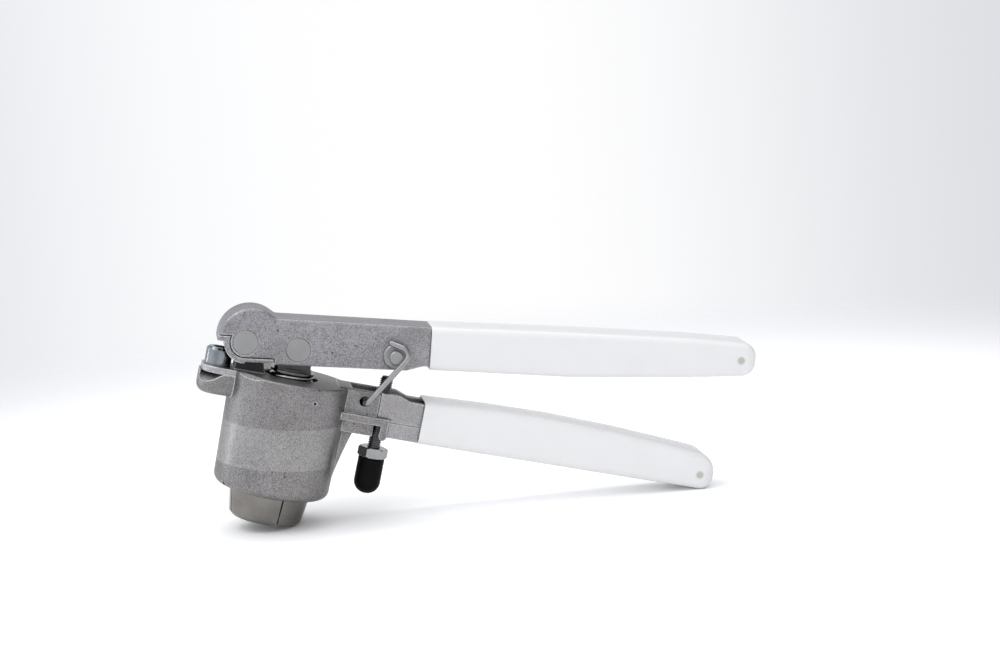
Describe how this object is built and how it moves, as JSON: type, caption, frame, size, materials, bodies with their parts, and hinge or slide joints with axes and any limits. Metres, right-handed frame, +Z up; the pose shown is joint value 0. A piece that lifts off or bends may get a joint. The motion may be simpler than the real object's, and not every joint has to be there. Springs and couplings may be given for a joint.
{
  "type": "vial crimper",
  "caption": "Hand crimper for vial caps: slit collet head, pivoted lever and fixed handle with vinyl grips, wire latch and adjustable stop.",
  "frame": {"origin": "centre of the bounding box on the table the tool rests on", "axes": "+X towards the handle ends, +Y across the tool, +Z up from the table"},
  "size_m": [0.2054, 0.044, 0.0815],
  "materials": {
    "cast_metal": "bead-blasted casting",
    "brushed_metal": "fine turned nickel plate",
    "bright_steel": "bright plated",
    "zinc_steel": "blue zinc plated",
    "dark_steel": "dark oxide, oiled",
    "white_vinyl": "dipped vinyl, glossy",
    "black_vinyl": "soft vinyl cap",
    "bronze": "turned bronze"
  },
  "bodies": {
    "frame": {"head_casting": "cast_metal", "fulcrum_bracket": "cast_metal", "bracket_screw": "zinc_steel", "lower_handle": "cast_metal", "lower_grip": "white_vinyl", "guide_bush": "bronze", "bush_pin": "dark_steel", "jaw_retainer": "brushed_metal", "retainer_screws": "dark_steel", "garter_spring": "bright_steel", "return_spring": "bright_steel"},
    "upper_lever": {"lever": "cast_metal", "upper_grip": "white_vinyl", "fulcrum_pin": "brushed_metal", "drive_pin": "brushed_metal", "latch_pin": "brushed_metal"},
    "latch": {"latch_hook": "bright_steel"},
    "push_rod": {"plunger": "brushed_metal", "spring_seat": "dark_steel", "expander_cone": "dark_steel", "pressure_pad": "brushed_metal", "pad_screw": "dark_steel"},
    "stop_screw": {"adjusting_screw": "dark_steel", "screw_cap": "black_vinyl"},
    "stop_nut": {"lock_nut": "bright_steel"},
    "jaw_1_body": {"jaw_1": "brushed_metal"},
    "jaw_2_body": {"jaw_2": "brushed_metal"},
    "jaw_3_body": {"jaw_3": "brushed_metal"},
    "jaw_4_body": {"jaw_4": "brushed_metal"}
  },
  "joints": [
    {"name": "lever_hinge", "type": "hinge", "parent": "frame", "child": "upper_lever", "pos_m": [-0.08416, 0, 0.06941], "axis": [0, 1, 0], "range_deg": [0, 4.6], "stiffness_Nm_per_rad": 0.72, "springref_deg": -22.92},
    {"name": "push_rod_slide", "type": "slide", "parent": "frame", "child": "push_rod", "axis": [-0.2618, 0, -0.9651], "range_m": [0, 0.00153], "deforming": ["return_spring"]},
    {"name": "latch_swing", "type": "hinge", "parent": "frame", "child": "latch", "pos_m": [-0.04345, 0, 0.04418], "axis": [0, 1, 0], "range_deg": [0, 125]},
    {"name": "stop_screw_turn", "type": "hinge", "parent": "frame", "child": "stop_screw", "pos_m": [-0.04176, 0, 0.02212], "axis": [0.2618, 0, 0.9651], "continuous": true},
    {"name": "stop_nut_turn", "type": "hinge", "parent": "stop_screw", "child": "stop_nut", "pos_m": [-0.04176, 0, 0.02212], "axis": [0.2618, 0, 0.9651], "continuous": true},
    {"name": "jaw_1_rock", "type": "hinge", "parent": "frame", "child": "jaw_1_body", "pos_m": [-0.0655, -0.00717, 0.0141], "axis": [0.4531, 0.8829, -0.1229], "range_deg": [0, 1.51]},
    {"name": "jaw_2_rock", "type": "hinge", "parent": "frame", "child": "jaw_2_body", "pos_m": [-0.0716, 0.01349, 0.01575], "axis": [-0.8522, 0.4695, 0.2311], "range_deg": [0, 1.51]},
    {"name": "jaw_3_rock", "type": "hinge", "parent": "frame", "child": "jaw_3_body", "pos_m": [-0.09154, 0.00717, 0.02116], "axis": [-0.4531, -0.8829, 0.1229], "range_deg": [0, 1.51]},
    {"name": "jaw_4_rock", "type": "hinge", "parent": "frame", "child": "jaw_4_body", "pos_m": [-0.08544, -0.01349, 0.01951], "axis": [0.8522, -0.4695, -0.2311], "range_deg": [0, 1.51]}
  ],
  "couplings": [
    {"joint": "push_rod_slide", "follows": "lever_hinge", "m_per_rad": 0.019},
    {"joint": "jaw_1_rock", "follows": "lever_hinge", "ratio": 0.32609},
    {"joint": "jaw_2_rock", "follows": "lever_hinge", "ratio": 0.32609},
    {"joint": "jaw_3_rock", "follows": "lever_hinge", "ratio": 0.32609},
    {"joint": "jaw_4_rock", "follows": "lever_hinge", "ratio": 0.32609}
  ]
}
